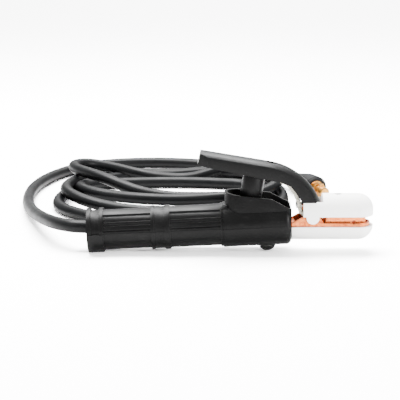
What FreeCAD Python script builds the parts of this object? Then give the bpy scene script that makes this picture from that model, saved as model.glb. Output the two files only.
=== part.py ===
"""Spring-loaded electrode holder for stick welding, with its rubber cable and bayonet plug.

Row frame, millimetres: +X runs to the jaws' tips, +Y to the far side, +Z up, and Z = 0 is the surface it rests on.
The grip and head are drawn along a straight axis (x = 0 where they meet) and then tilted, because the holder rests
on the grip's rear flange and on the domed screw under its head. The jaws lie level.
"""
import FreeCAD, Part
import math
import os
from FreeCAD import Placement, Rotation, Vector

os.makedirs("parts", exist_ok=True)

# ---- driving dimensions -------------------------------------------------------------------------------------
# grip, along its own axis
GRIP_LENGTH = 106.6
GRIP_R = 16.3
GRIP_BORE_R = 12.3
REAR_WALL = 7.0
FLANGE_R = 17.6
FLANGE_LENGTH = 13.0
FLANGE_FOOT = 16.3
CHANNEL_WIDTH = 6.6
CHANNEL_DEPTH = 3.2
COLLAR_R = 17.4
COLLAR_START = -56.5
COLLAR_LENGTH = 15.0
COLLAR_DIP = 0.8
COLLAR_DIP_SETBACK = 2.5
COLLAR_DIP_LENGTH = 8.0
UNDERSIDE_FLAT_SHARE = 0.965
REAR_SECTION_STEP = 0.5
RIB_GROOVE_R = 1.1
SPINE_GROOVE_R = 1.5
# head, along the same axis
HEAD_LENGTH = 52.8
HEAD_R = 17.8
HEAD_NOSE_RADIUS = 4.0
SPIGOT_LENGTH = 11.0
SPIGOT_R = 13.4
LIP_R = 17.2
LIP_LENGTH = 2.0
# spring cup on the head, in the row frame
CUP_HALF_WIDTH = 13.5
CUP_WALL = 2.0
CUP_BACK_X = -4.6
CUP_BACK_Z = 48.2
CUP_CORNER_X = 31.5
CUP_CORNER_Z = 44.2
CUP_NOSE_Z = 36.0
CUP_FLOOR_Z = 31.0
CUP_ROOT_Z = 24.0
CUP_ABOVE_Z = 60.0
# pivot and jaws, in the row frame
PIVOT_X = 64.0
PIVOT_Z = 29.0
PIN_R = 2.4
JAW_TIP_X = 109.5
JAW_HALF_WIDTH = 9.5
JAW_RIM = 1.6
LOWER_RIM_Z = 24.2
LOWER_FLOOR_Z = 20.4
LOWER_BASE_Z = 16.9
UPPER_RIM_Z = 26.0
UPPER_FLOOR_Z = 28.6
UPPER_TOP_Z = 33.0
BITE_HALF_WIDTH = 5.0
ELECTRODE_R = 1.6
ELECTRODE_X = 96.0
EAR_INNER = 7.9
EAR_R = 4.4
EAR_FRONT = 9.5
EAR_TOP_Z = PIVOT_Z + EAR_R * 0.6
TANG_HALF_WIDTH = 6.0
TANG_LOW_Z = 15.5
TANG_HIGH_Z = 24.5
TANG_END_X = -14.0
# insulators
INSULATOR_HALF_WIDTH = 12.0
INSULATOR_TIP_X = 112.0
LOWER_INSULATOR_Z = 21.5
UPPER_INSULATOR_Z = 29.7
UPPER_INSULATOR_BACK_X = 56.6
UPPER_INSULATOR_SIDE = 4.4
BOSS_R = 5.0
BOSS_INNER = 9.9
INSULATOR_SCREW_X = 84.0
# lever
LEVER_HALF_WIDTH = 10.0
LEVER_CROWN = 3.2
LEVER_WALL = 2.2
LEVER_BACK_X = -22.0
LEVER_BACK_Z = 80.6
LEVER_SLOPE = 9.5
LEVER_STRAIGHT = 53.0
LEVER_BEND_R = 53.0
LEVER_BEND_TURN = 62.0
LEVER_CHAMFER = 6.0
ARM_THICKNESS = 2.8
ARM_HALF_WIDTH = 5.6
COVER_SCREW_X = 32.0
COVER_SCREW_R = 2.5
COVER_RECESS_R = 4.2
# closing spring and its cap
SPRING_LEAN = 9.3
CAP_X = 16.2
CAP_MOUTH_Z = 43.0
CAP_R = 8.65
CAP_WALL = 1.5
SPRING_R = 5.5
SPRING_WIRE_R = 0.8
SPRING_TURNS = 6.5
SEAT_R = 7.6
SEAT_HEIGHT = 1.2
# cable and its clamp
CABLE_R = 5.25
CABLE_RISE = 2.8
SOCKET_R = 8.0
SOCKET_START = -58.0
SOCKET_BORE_DEPTH = 32.0
STRAND_R = 2.7
FERRULE_WALL = 1.2
SET_SCREW_R = 3.0
# head screw, the front foot
DOME_R = 6.7
DOME_HEIGHT = 5.0
DOME_X = 34.0
SHANK_R = 2.5
# named clearances
RUNNING = 0.05
SEATED = 0.1
FREE = 0.3

FAR = 200.0


# ---- small helpers ------------------------------------------------------------------------------------------
def block(x0, x1, y0, y1, z0, z1):
    return Part.makeBox(x1 - x0, y1 - y0, z1 - z0, Vector(x0, y0, z0))


def rod(start, direction, length, radius):
    return Part.makeCylinder(radius, length, Vector(*start), Vector(*direction))


def rod_x(x0, x1, radius, y=0.0, z=0.0):
    return rod((x0, y, z), (1, 0, 0), x1 - x0, radius)


def rod_y(x, z, radius, y0, y1):
    return rod((x, y0, z), (0, 1, 0), y1 - y0, radius)


def prism(outline, y0, y1):
    """A side outline of (x, z) points, made solid from y0 to y1."""
    points = [Vector(x, y0, z) for x, z in outline]
    face = Part.Face(Part.makePolygon(points + points[:1]))
    return face.extrude(Vector(0, y1 - y0, 0))


def one_solid(shape):
    """The shape as its one solid. Slivers that a cut leaves are dropped, and a real second solid is an error."""
    solids = sorted(shape.removeSplitter().Solids, key=lambda solid: solid.Volume)
    if len(solids) > 1 and solids[-2].Volume > SLIVER_VOLUME:
        raise ValueError(f"a piece has fallen apart: volumes {[round(solid.Volume, 1) for solid in solids]}")
    return solids[-1]


SLIVER_VOLUME = 2.0

# ---- placing the grip's axis in the row frame ---------------------------------------------------------------
dome_drop = HEAD_R + DOME_HEIGHT
TILT = math.degrees(math.atan2(dome_drop - FLANGE_FOOT, DOME_X + GRIP_LENGTH))
JOINT_X = -5.5
JOINT_Z = GRIP_LENGTH * math.sin(math.radians(TILT)) + FLANGE_FOOT * math.cos(math.radians(TILT))
AXIS = Placement(Vector(JOINT_X, 0, JOINT_Z), Rotation(Vector(0, 1, 0), -TILT))


def tilted(shape):
    """From the grip's own axis to the row frame."""
    placed = shape.copy()
    placed.Placement = AXIS.multiply(placed.Placement)
    return placed


def axis_point(x, z=0.0, y=0.0):
    return AXIS.multVec(Vector(x, y, z))


# ---- grip ---------------------------------------------------------------------------------------------------
def rib_grooves(x0, x1, radius):
    """Shallow grooves along the upper half, the ones beside the spine deeper. They end short of the flanges."""
    cuts = []
    for angle, groove in ((55, SPINE_GROOVE_R), (37, RIB_GROOVE_R), (26, RIB_GROOVE_R), (10, RIB_GROOVE_R)):
        for side in (1, -1):
            y = side * (radius + 0.35) * math.cos(math.radians(angle))
            z = (radius + 0.35) * math.sin(math.radians(angle))
            cuts.append(rod_x(x0, x1, groove, y, z))
    return cuts


def faceted(x0, x1, radius):
    """A round bar whose lower half has flats: one under each side, and one below."""
    bar = rod_x(x0, x1, radius)
    flats = [block(x0, x1, -FAR, FAR, -FAR, -0.965 * radius)]
    for side in (1, -1):
        flat = block(x0, x1, -FAR, FAR, -FAR, -0.93 * radius)
        flat.rotate(Vector(), Vector(1, 0, 0), side * 42)
        flats.append(flat)
    return bar.cut(flats)


def handle_grip():
    rear = -GRIP_LENGTH
    flange_end = rear + FLANGE_LENGTH
    collar_end = COLLAR_START + COLLAR_LENGTH
    body = faceted(rear + 1, COLLAR_START + 1, GRIP_R - REAR_SECTION_STEP)
    body = body.cut(rib_grooves(flange_end, COLLAR_START, GRIP_R - REAR_SECTION_STEP))
    front = faceted(collar_end - 1, 0, GRIP_R)
    front = front.cut(rib_grooves(collar_end, -LIP_LENGTH, GRIP_R))
    flange = rod_x(rear, flange_end, FLANGE_R).cut(block(rear, flange_end, -FAR, FAR, -FAR, -FLANGE_FOOT))
    channel_start = rear + (FLANGE_LENGTH - CHANNEL_WIDTH) / 2
    ring = rod_x(channel_start, channel_start + CHANNEL_WIDTH, FLANGE_R + 1)
    ring = ring.cut(rod_x(channel_start, channel_start + CHANNEL_WIDTH, FLANGE_R - CHANNEL_DEPTH))
    ring = ring.cut(block(-FAR, FAR, -FAR, FAR, -FAR, 0))
    flange = flange.cut(ring)
    collar = rod_x(COLLAR_START, collar_end, COLLAR_R)
    collar = collar.cut(block(-FAR, FAR, -FAR, FAR, -FAR, -UNDERSIDE_FLAT_SHARE * COLLAR_R))
    dip_start = COLLAR_START + COLLAR_DIP_SETBACK
    dip_end = dip_start + COLLAR_DIP_LENGTH
    dip = rod_x(dip_start, dip_end, COLLAR_R + 1).cut(rod_x(dip_start, dip_end, COLLAR_R - COLLAR_DIP))
    collar = collar.cut(dip)
    lip = rod_x(-LIP_LENGTH, 0, LIP_R)
    grip = body.fuse([front, flange, collar, lip])
    grip = grip.cut(rod_x(rear + REAR_WALL, 1, GRIP_BORE_R))
    grip = grip.cut(rod_x(rear - 1, 0, CABLE_R + SEATED, 0, CABLE_RISE))
    grip = grip.cut(rod_x(-SPIGOT_LENGTH - SEATED, 1, SPIGOT_R + SEATED))
    grip = grip.cut([handle_screw_body(SEATED)])
    return tilted(one_solid(grip))


HANDLE_SCREW_X = -24.0
HANDLE_SCREW_R = 2.0
HANDLE_SCREW_HEAD_R = 3.9
COUNTERSINK_DEPTH = 2.4
SCREW_SLOT_HALF_LENGTH = 3.2
SCREW_SLOT_HALF_WIDTH = 0.5
SCREW_SLOT_DEPTH = 1.0


def handle_screw_body(gap):
    """A countersunk screw from below, through the grip's wall into the cable socket."""
    head_low = -UNDERSIDE_FLAT_SHARE * GRIP_R
    head = Part.makeCone(HANDLE_SCREW_HEAD_R + gap, HANDLE_SCREW_R + gap, COUNTERSINK_DEPTH,
                         Vector(HANDLE_SCREW_X, 0, head_low - 0.01), Vector(0, 0, 1))
    shank = rod((HANDLE_SCREW_X, 0, head_low), (0, 0, 1), -head_low - STRAND_R - FERRULE_WALL - 1.0,
                HANDLE_SCREW_R + gap)
    return head.fuse(shank)


def handle_screw():
    screw = handle_screw_body(0.0)
    low = -UNDERSIDE_FLAT_SHARE * GRIP_R
    slot = block(HANDLE_SCREW_X - SCREW_SLOT_HALF_LENGTH, HANDLE_SCREW_X + SCREW_SLOT_HALF_LENGTH,
                 -SCREW_SLOT_HALF_WIDTH, SCREW_SLOT_HALF_WIDTH, low - 1, low + SCREW_SLOT_DEPTH)
    return tilted(one_solid(screw.cut(slot)))


# ---- head shell ---------------------------------------------------------------------------------------------
def cup_outline(inset):
    """Side outline of the spring cup, from under the barrel's top to its rim."""
    back = CUP_BACK_X + inset
    nose = JOINT_X + HEAD_LENGTH - inset
    return [(back, CUP_ROOT_Z), (back, CUP_BACK_Z), (CUP_CORNER_X, CUP_CORNER_Z), (nose, CUP_NOSE_Z),
            (nose, CUP_ROOT_Z)]


def cup_plan(inset, low, high):
    """Plan of the cup: a half circle behind and parallel sides to the nose, between two heights."""
    half = CUP_HALF_WIDTH - inset
    centre_x = CUP_BACK_X + CUP_HALF_WIDTH
    nose = JOINT_X + HEAD_LENGTH - inset
    plan = rod((centre_x, 0, low), (0, 0, 1), high - low, half)
    return plan.fuse(block(centre_x, nose, -half, half, low, high))


def head_shell():
    barrel = rod_x(0, HEAD_LENGTH, HEAD_R)
    nose_edges = [edge for edge in barrel.Edges
                  if abs(edge.BoundBox.XMin - HEAD_LENGTH) < 1e-3 and abs(edge.BoundBox.XMax - HEAD_LENGTH) < 1e-3]
    barrel = barrel.makeFillet(HEAD_NOSE_RADIUS, nose_edges)
    barrel = tilted(barrel.fuse(rod_x(-SPIGOT_LENGTH, 1, SPIGOT_R)))
    cup = cup_plan(0, CUP_ROOT_Z, CUP_ABOVE_Z).common(prism(cup_outline(0), -FAR, FAR))
    pocket = cup_plan(CUP_WALL, CUP_FLOOR_Z, CUP_ABOVE_Z)
    shell = barrel.fuse(cup).cut(pocket)
    tang_room = block(TANG_END_X - 20, FAR, -TANG_HALF_WIDTH - SEATED, TANG_HALF_WIDTH + SEATED,
                      TANG_LOW_Z - SEATED, TANG_HIGH_Z + SEATED)
    shell = shell.cut(tang_room)
    shell = shell.cut(tilted(rod_x(-SPIGOT_LENGTH - 1, -2, SOCKET_R + SEATED)))
    shell = shell.cut(head_screw_body(SEATED))
    shell = shell.cut(seat_boss(SEATED))
    return one_solid(shell)


def head_screw_body(gap):
    """Domed screw that stands below the barrel and clamps the shell to the lower jaw's tang."""
    crown_r = (DOME_R ** 2 + DOME_HEIGHT ** 2) / (2 * DOME_HEIGHT)
    ball = Part.makeSphere(crown_r, Vector(DOME_X, 0, -dome_drop + crown_r))
    reach = block(DOME_X - FAR, DOME_X + FAR, -FAR, FAR, -FAR, -HEAD_R)
    dome = ball.common(reach)
    collar_height = 3.0
    collar = rod((DOME_X, 0, -HEAD_R), (0, 0, 1), collar_height, DOME_R + gap)
    tang_middle = (TANG_LOW_Z + TANG_HIGH_Z) / 2 - axis_point(DOME_X).z
    shank = rod((DOME_X, 0, -HEAD_R), (0, 0, 1), HEAD_R + tang_middle + 2.0, SHANK_R + gap)
    return tilted(dome.fuse([collar, shank]))


def head_screw():
    slot = block(DOME_X - 2.6, DOME_X + 2.6, -0.6, 0.6, -dome_drop - 1, -dome_drop + 1.4)
    return one_solid(head_screw_body(0.0).cut(tilted(slot)))


# ---- spring, its cap and its seat ---------------------------------------------------------------------------
lean = math.radians(SPRING_LEAN)
SPRING_AXIS = Vector(math.sin(lean), 0, math.cos(lean))


def on_spring_axis(z):
    """The point at height z on the spring's axis."""
    return (CAP_X + (z - 46.0) * math.tan(lean), 0.0, z)


def seat_boss(gap):
    """The cup's floor is level, and the seat sits in a shallow round recess of it."""
    x, y, z = on_spring_axis(CUP_FLOOR_Z)
    return rod((x, y, CUP_FLOOR_Z - 1.0), (0, 0, 1), 3.0, SEAT_R + gap)


def spring_seat():
    x, y, z = on_spring_axis(CUP_FLOOR_Z)
    disc = rod((x, 0, CUP_FLOOR_Z - 1.0), (0, 0, 1), 1.0 + SEAT_HEIGHT, SEAT_R)
    stud = rod((x, 0, CUP_FLOOR_Z), (0, 0, 1), 4.0, SPRING_R - SPRING_WIRE_R - FREE)
    return one_solid(disc.fuse(stud))


spring_low = CUP_FLOOR_Z + SEAT_HEIGHT + 1.6


def arm_underside_z(x):
    """Height of the arm's underside where its straight run is above x."""
    start, end = ARM_RUN
    slope = (end[1] - start[1]) / (end[0] - start[0])
    return start[1] + slope * (x - start[0]) - ARM_THICKNESS / 2 / math.cos(math.atan(slope))


ARM_RUN = ((-12.0, 69.2), (35.5, 58.6))
cap_top = arm_underside_z(CAP_X + 2.4) - 0.2


def spring():
    low = on_spring_axis(spring_low)
    ceiling = cap_top - CAP_WALL - SPRING_WIRE_R - 0.4
    height = (ceiling - spring_low) / math.cos(lean)
    helix = Part.makeHelix(height / SPRING_TURNS, height, SPRING_R)
    section = Part.Wire(Part.Circle(Vector(SPRING_R, 0, 0), Vector(0, 1, 0), SPRING_WIRE_R).toShape())
    coil = Part.Wire(helix).makePipeShell([section], True, True)
    coil.Placement = Placement(Vector(*low), Rotation(Vector(0, 0, 1), SPRING_AXIS))
    return coil


def spring_cap():
    low = Vector(*on_spring_axis(CAP_MOUTH_Z))
    height = (cap_top - CAP_MOUTH_Z) / math.cos(lean) + 4
    outer = Part.makeCylinder(CAP_R, height, low, SPRING_AXIS)
    inner_height = (cap_top - CAP_WALL - CAP_MOUTH_Z) / math.cos(lean)
    inner = Part.makeCylinder(CAP_R - CAP_WALL, inner_height + 1, low - SPRING_AXIS, SPRING_AXIS)
    (x0, z0), (x1, z1) = ARM_RUN
    slope = (z1 - z0) / (x1 - x0)
    under = [(x0, arm_underside_z(x0) - 0.05), (x1, arm_underside_z(x1) - 0.05), (x1, 30), (x0, 30)]
    cap = outer.cut(inner).common(prism(under, -FAR, FAR))
    return one_solid(cap.cut(cap_rivet_body(SEATED)))


def cap_rivet_body(gap):
    foot = Vector(*on_spring_axis(cap_top - CAP_WALL - 0.4))
    shank = Part.makeCylinder(1.8 + gap, 8.0, foot, SPRING_AXIS)
    head = Part.makeCylinder(3.2 + gap, 1.0, foot - SPRING_AXIS * 0.6, SPRING_AXIS)
    top = Vector(*on_spring_axis(arm_underside_z(CAP_X + 2.4) + ARM_THICKNESS + 0.1))
    crown = Part.makeCylinder(3.2 + gap, 1.0, top, SPRING_AXIS)
    reach = Part.makeCylinder(20, (top.z - foot.z) / math.cos(lean) + 2.0, foot - SPRING_AXIS, SPRING_AXIS)
    return shank.fuse([head, crown]).common(reach)


def cap_rivet():
    return one_solid(cap_rivet_body(0.0))


# ---- lever --------------------------------------------------------------------------------------------------
slope_angle = math.radians(LEVER_SLOPE)
ALONG = Vector(math.cos(slope_angle), 0, -math.sin(slope_angle))
UP = Vector(math.sin(slope_angle), 0, math.cos(slope_angle))
LEVER_BACK = Vector(LEVER_BACK_X, 0, LEVER_BACK_Z)
BEND_START = LEVER_BACK + ALONG * LEVER_STRAIGHT
BEND_CENTRE = BEND_START - UP * LEVER_BEND_R


def crowned_face(inset, start):
    """The lever's cross-section at a point of its crown line: flat sides under an arched top."""
    half = LEVER_HALF_WIDTH - inset
    depth = 26.0
    side = Vector(0, 1, 0)
    top = start - UP * inset
    shoulder = top - UP * LEVER_CROWN
    low = start - UP * depth
    arch = Part.Arc(shoulder - side * half, top, shoulder + side * half).toShape()
    sides = [Part.LineSegment(shoulder + side * half, low + side * half).toShape(),
             Part.LineSegment(low + side * half, low - side * half).toShape(),
             Part.LineSegment(low - side * half, shoulder - side * half).toShape()]
    return Part.Face(Part.Wire([arch] + sides))


def crowned_bar(inset, back):
    """The cross-section run straight from behind and then round the bend."""
    start = BEND_START - ALONG * (LEVER_STRAIGHT + 8.0 - back)
    straight = crowned_face(inset, start).extrude(BEND_START - start)
    bend = crowned_face(inset, BEND_START).revolve(BEND_CENTRE, Vector(0, 1, 0), LEVER_BEND_TURN + 4)
    return straight.fuse(bend)


# the cover's lower edge, from the back to under its tip
COVER_EDGE = [(-25.7, 70.2), (40.0, 56.5), (46.5, 53.6), (50.8, 48.3), (56.0, 40.2), (69.6, 37.4)]


def cover_outline(inset, drop):
    """What of the crowned bar belongs to the cover, seen from the side."""
    back = [(COVER_EDGE[0][0] + inset, COVER_EDGE[0][1] - drop), (LEVER_BACK_X + inset + 1.2, 90.0)]
    edge = [(x, z - drop) for x, z in COVER_EDGE[1:]]
    tip = [(edge[-1][0] - inset, edge[-1][1]), (88.0 - inset, 37.4 - drop), (88.0 - inset, 90.0)]
    return back[:1] + edge[:-1] + tip + back[1:]


# the two facets that narrow the lever's back end, as seen from above
LEVER_FACET_X = -17.8
LEVER_FACET_INNER = 3.0


def lever_cover():
    shell = crowned_bar(0, 0).common(prism(cover_outline(0, 0), -FAR, FAR))
    for side in (1, -1):
        corner = [Vector(-32, side * LEVER_FACET_INNER, 0), Vector(LEVER_FACET_X, side * LEVER_HALF_WIDTH, 0),
                  Vector(-32, side * FAR, 0)]
        wedge = Part.Face(Part.makePolygon(corner + corner[:1])).extrude(Vector(0, 0, FAR))
        shell = shell.cut(wedge)
    hollow = crowned_bar(LEVER_WALL, LEVER_CHAMFER + 8).common(prism(cover_outline(LEVER_CHAMFER, 3.0), -FAR, FAR))
    shell = shell.cut(hollow)
    seat = cover_boss(COVER_RECESS_R + LEVER_WALL)
    shell = shell.fuse(seat.common(prism(cover_outline(0, 0), -FAR, FAR)).common(crowned_bar(0, 0)))
    shell = shell.cut([arm_strip(ARM_HALF_WIDTH + SEATED, ARM_THICKNESS + 2 * SEATED), cover_screw_body(SEATED),
                       cover_nut_body(SEATED), cap_rivet_body(FREE), recess()])
    return one_solid(shell)


COVER_SCREW_TOP = Vector(COVER_SCREW_X, 0, LEVER_BACK_Z - (COVER_SCREW_X - LEVER_BACK_X) * math.tan(slope_angle))


def cover_boss(radius):
    return Part.makeCylinder(radius, 12.0, COVER_SCREW_TOP - UP * 12.0, UP)


def recess():
    return Part.makeCylinder(COVER_RECESS_R, 12.0, COVER_SCREW_TOP - UP * 3.4, UP)


def cover_screw_body(gap):
    head = Part.makeCylinder(COVER_RECESS_R - FREE + gap, 2.4, COVER_SCREW_TOP - UP * 5.8, UP)
    shank = Part.makeCylinder(COVER_SCREW_R + gap, 9.0, COVER_SCREW_TOP - UP * 13.4, UP)
    return head.fuse(shank)


def lever_cover_screw():
    screw = cover_screw_body(0.0)
    screw = screw.cut(Part.makeCylinder(6, 4, COVER_SCREW_TOP - UP * 3.4, UP))
    slot_low = COVER_SCREW_TOP - UP * 4.6
    cross = [Part.makeBox(4.6, 1.0, 4.0), Part.makeBox(1.0, 4.6, 4.0)]
    cross[0].translate(Vector(-2.3, -0.5, 0))
    cross[1].translate(Vector(-0.5, -2.3, 0))
    for bar in cross:
        bar.Placement = Placement(slot_low, Rotation(Vector(0, 0, 1), UP)).multiply(bar.Placement)
    return one_solid(screw.cut(cross))


NUT_HEIGHT = 2.6
NUT_DROP = 10.3


def cover_nut_body(gap):
    """A nut welded to the top of the arm, under the cover's screw seat."""
    return Part.makeCylinder(4.0 + gap, NUT_HEIGHT, COVER_SCREW_TOP - UP * NUT_DROP, UP)


def lever_cover_nut():
    hexagon = [Vector(4.0 * math.cos(math.radians(60 * i)), 4.0 * math.sin(math.radians(60 * i)), 0) for i in range(6)]
    nut = Part.Face(Part.makePolygon(hexagon + hexagon[:1])).extrude(Vector(0, 0, NUT_HEIGHT))
    nut.Placement = Placement(COVER_SCREW_TOP - UP * NUT_DROP, Rotation(Vector(0, 0, 1), UP))
    return one_solid(nut.cut(cover_screw_body(RUNNING)))


# centreline of the steel strip after its straight run, down to where it wraps the pivot
ARM_BEND = [(44.5, 54.6), (50.0, 47.4), (53.4, 39.5), (54.6, 32.6)]


def arm_strip(half_width, thickness):
    """The strip's centreline, thickened: a straight run, a bend down, and a tangent to the eye round the pin."""
    ring_r = PIN_R + RUNNING + ARM_THICKNESS / 2
    touch = (PIVOT_X - ring_r * math.cos(math.radians(42)), PIVOT_Z - ring_r * math.sin(math.radians(42)))
    points = [ARM_RUN[0], ARM_RUN[1]] + ARM_BEND + [touch]
    strip = None
    for (x0, z0), (x1, z1) in zip(points, points[1:]):
        length = math.hypot(x1 - x0, z1 - z0)
        bar = block(0, length, -half_width, half_width, -thickness / 2, thickness / 2)
        bar.Placement = Placement(Vector(x0, 0, z0), Rotation(Vector(0, 1, 0), -math.degrees(math.atan2(z1 - z0, x1 - x0))))
        knuckle = rod_y(x1, z1, thickness / 2, -half_width, half_width)
        strip = bar.fuse(knuckle) if strip is None else strip.fuse([bar, knuckle])
    return strip


def lever_arm():
    arm = arm_strip(ARM_HALF_WIDTH, ARM_THICKNESS)
    eye = rod_y(PIVOT_X, PIVOT_Z, PIN_R + RUNNING + ARM_THICKNESS, -ARM_HALF_WIDTH, ARM_HALF_WIDTH)
    arm = arm.fuse(eye).cut(rod_y(PIVOT_X, PIVOT_Z, PIN_R + RUNNING, -FAR, FAR))
    arm = arm.cut([cover_screw_body(SEATED), cap_rivet_body(SEATED), jaw_rivet_bodies(SEATED)])
    return one_solid(arm)


# ---- jaws ---------------------------------------------------------------------------------------------------
def tongue(half_width, x0, tip_x, z0, z1):
    """A level plate with a round tip, seen from above."""
    centre = tip_x - half_width
    return block(x0, centre, -half_width, half_width, z0, z1).fuse(
        rod((centre, 0, z0), (0, 0, 1), z1 - z0, half_width))


def bite_grooves(low, high):
    """Grooves across the bite for thin electrodes, beside the round one for the rated size."""
    cuts = []
    for x in (78.0, 84.0, 90.0, 102.0):
        cuts.append(rod_y(x, (low + high) / 2, 0.9, -FAR, FAR))
    cuts.append(rod_y(ELECTRODE_X, (low + high) / 2, ELECTRODE_R, -FAR, FAR))
    return cuts


BITE_Z = 25.1
BITE_GAP = 0.3


def barrel_room(gap):
    """The space of the tilted barrel, with a gap in front of its end."""
    return tilted(rod_x(0, HEAD_LENGTH + gap, HEAD_R + 1))


def lower_jaw():
    head_front = JOINT_X + HEAD_LENGTH
    plate = tongue(JAW_HALF_WIDTH, head_front - 4, JAW_TIP_X, LOWER_BASE_Z, LOWER_RIM_Z)
    trough = tongue(JAW_HALF_WIDTH - JAW_RIM, head_front + 2, JAW_TIP_X - JAW_RIM, LOWER_FLOOR_Z, FAR)
    jaw = plate.cut(trough)
    bite = block(74, JAW_TIP_X - 4, -BITE_HALF_WIDTH, BITE_HALF_WIDTH, LOWER_FLOOR_Z - 1, BITE_Z - BITE_GAP / 2)
    jaw = jaw.fuse(bite)
    foot = LOWER_RIM_Z - 1.0
    ear = [(head_front + 1.0, foot), (head_front + 1.0, LOWER_RIM_Z + 0.6), (PIVOT_X - EAR_R * 0.8, EAR_TOP_Z),
           (PIVOT_X + EAR_R * 0.8, EAR_TOP_Z), (PIVOT_X + EAR_FRONT, foot)]
    for side in (1, -1):
        low, high = sorted((side * EAR_INNER, side * JAW_HALF_WIDTH))
        jaw = jaw.fuse(prism(ear, low, high))
        jaw = jaw.fuse(rod_y(PIVOT_X, PIVOT_Z, EAR_R, low, high))
    jaw = jaw.cut(rod_y(PIVOT_X, PIVOT_Z, PIN_R, -FAR, FAR))
    jaw = jaw.cut(bite_grooves(BITE_Z, BITE_Z))
    tang = block(TANG_END_X, head_front + 3, -TANG_HALF_WIDTH, TANG_HALF_WIDTH, TANG_LOW_Z, TANG_HIGH_Z)
    neck = block(head_front, head_front + 3, -JAW_HALF_WIDTH, JAW_HALF_WIDTH, LOWER_BASE_Z, LOWER_RIM_Z)
    jaw = jaw.cut(block(-FAR, head_front, -FAR, FAR, -FAR, FAR)).fuse(neck).cut(barrel_room(SEATED)).fuse(tang)
    jaw = jaw.cut([head_screw_body(0.0), lower_screw_body(SEATED)])
    room = rod_y(PIVOT_X, PIVOT_Z, PIN_R + ARM_THICKNESS + RUNNING + FREE, -EAR_INNER, EAR_INNER)
    jaw = jaw.cut(room)
    return one_solid(jaw)


def jaw_rivet_bodies(gap):
    """Two rivets through the strip and the upper jaw's upstand, side by side."""
    rivets = []
    for y in (-3.2, 3.2):
        shank = rod((51.6, y, 37.2), (1, 0, 0), 9.4, 1.2 + gap)
        head = rod((60.4, y, 37.2), (1, 0, 0), 0.9, 2.0 + gap)
        tail = rod((51.4, y, 37.2), (1, 0, 0), 1.0, 2.0 + gap)
        rivets.append(shank.fuse([head, tail]).removeSplitter())
    return Part.makeCompound(rivets)


# the ear's front corner is sloped off, so it reaches this share of its height and depth together
EAR_CORNER_SHARE = 0.95


def upper_jaw():
    back = 68.5
    body = tongue(JAW_HALF_WIDTH, back, JAW_TIP_X, UPPER_RIM_Z, UPPER_TOP_Z)
    channel = tongue(JAW_HALF_WIDTH - JAW_RIM, back + 2, JAW_TIP_X + 6, 0, UPPER_FLOOR_Z)
    jaw = body.cut(channel)
    bite = block(74, JAW_TIP_X - 4, -BITE_HALF_WIDTH + 0.4, BITE_HALF_WIDTH - 0.4, BITE_Z + BITE_GAP / 2, UPPER_FLOOR_Z + 1)
    jaw = jaw.fuse(bite).cut(bite_grooves(BITE_Z, BITE_Z))
    cheek_inner = ARM_HALF_WIDTH + FREE
    cheek_outer = EAR_INNER - FREE
    roof_low = PIVOT_Z + PIN_R + ARM_THICKNESS + RUNNING + FREE
    roof = block(56.4, back + 3, -cheek_outer, cheek_outer, roof_low, roof_low + 2.4)
    upstand = block(56.4, 60.4, -cheek_outer, cheek_outer, roof_low, 41.5)
    ear_reach = math.hypot(EAR_FRONT, EAR_TOP_Z - UPPER_RIM_Z) * EAR_CORNER_SHARE + FREE
    ear_room = [rod_y(PIVOT_X, PIVOT_Z, ear_reach, EAR_INNER - FREE, FAR),
                rod_y(PIVOT_X, PIVOT_Z, ear_reach, -FAR, FREE - EAR_INNER)]
    eye_room = rod_y(PIVOT_X, PIVOT_Z, PIN_R + RUNNING + ARM_THICKNESS + SEATED, -cheek_inner, cheek_inner)
    jaw = jaw.fuse([roof, upstand]).cut([*ear_room, eye_room])
    cheek = [(60.0, roof_low + 1), (60.0, PIVOT_Z - 1), (PIVOT_X - 2, PIVOT_Z - 3.6), (PIVOT_X + 2, PIVOT_Z - 3.6),
             (back + 2, UPPER_RIM_Z + 1.0), (back + 2, roof_low + 1)]
    for side in (1, -1):
        low, high = sorted((side * cheek_inner, side * cheek_outer))
        jaw = jaw.fuse(prism(cheek, low, high))
    jaw = jaw.cut(rod_y(PIVOT_X, PIVOT_Z, PIN_R + RUNNING, -FAR, FAR))
    jaw = jaw.cut(arm_strip(ARM_HALF_WIDTH + FREE, ARM_THICKNESS + 2 * SEATED))
    jaw = jaw.cut([jaw_rivet_bodies(0.0), upper_screw_body(0.0)])
    return one_solid(jaw)


def pivot_pin():
    return rod_y(PIVOT_X, PIVOT_Z, PIN_R, -JAW_HALF_WIDTH, JAW_HALF_WIDTH)


# ---- insulators ---------------------------------------------------------------------------------------------
def lower_insulator():
    half = INSULATOR_HALF_WIDTH
    centre = INSULATOR_TIP_X - half
    back = JOINT_X + HEAD_LENGTH + FREE
    bar = rod_x(back, centre, half, 0, LOWER_INSULATOR_Z).fuse(
        Part.makeSphere(half, Vector(centre, 0, LOWER_INSULATOR_Z)))
    bar = bar.cut(block(-FAR, FAR, -FAR, FAR, LOWER_INSULATOR_Z, FAR))
    seat = tongue(JAW_HALF_WIDTH + SEATED, back - 1, JAW_TIP_X + SEATED, LOWER_BASE_Z - SEATED, FAR)
    tang = block(back - 1, JOINT_X + HEAD_LENGTH + 3 + SEATED, -TANG_HALF_WIDTH - SEATED, TANG_HALF_WIDTH + SEATED,
                 TANG_LOW_Z - SEATED, FAR)
    bar = bar.cut([seat, tang, barrel_room(FREE), lower_screw_body(SEATED)])
    return one_solid(bar)


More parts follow.
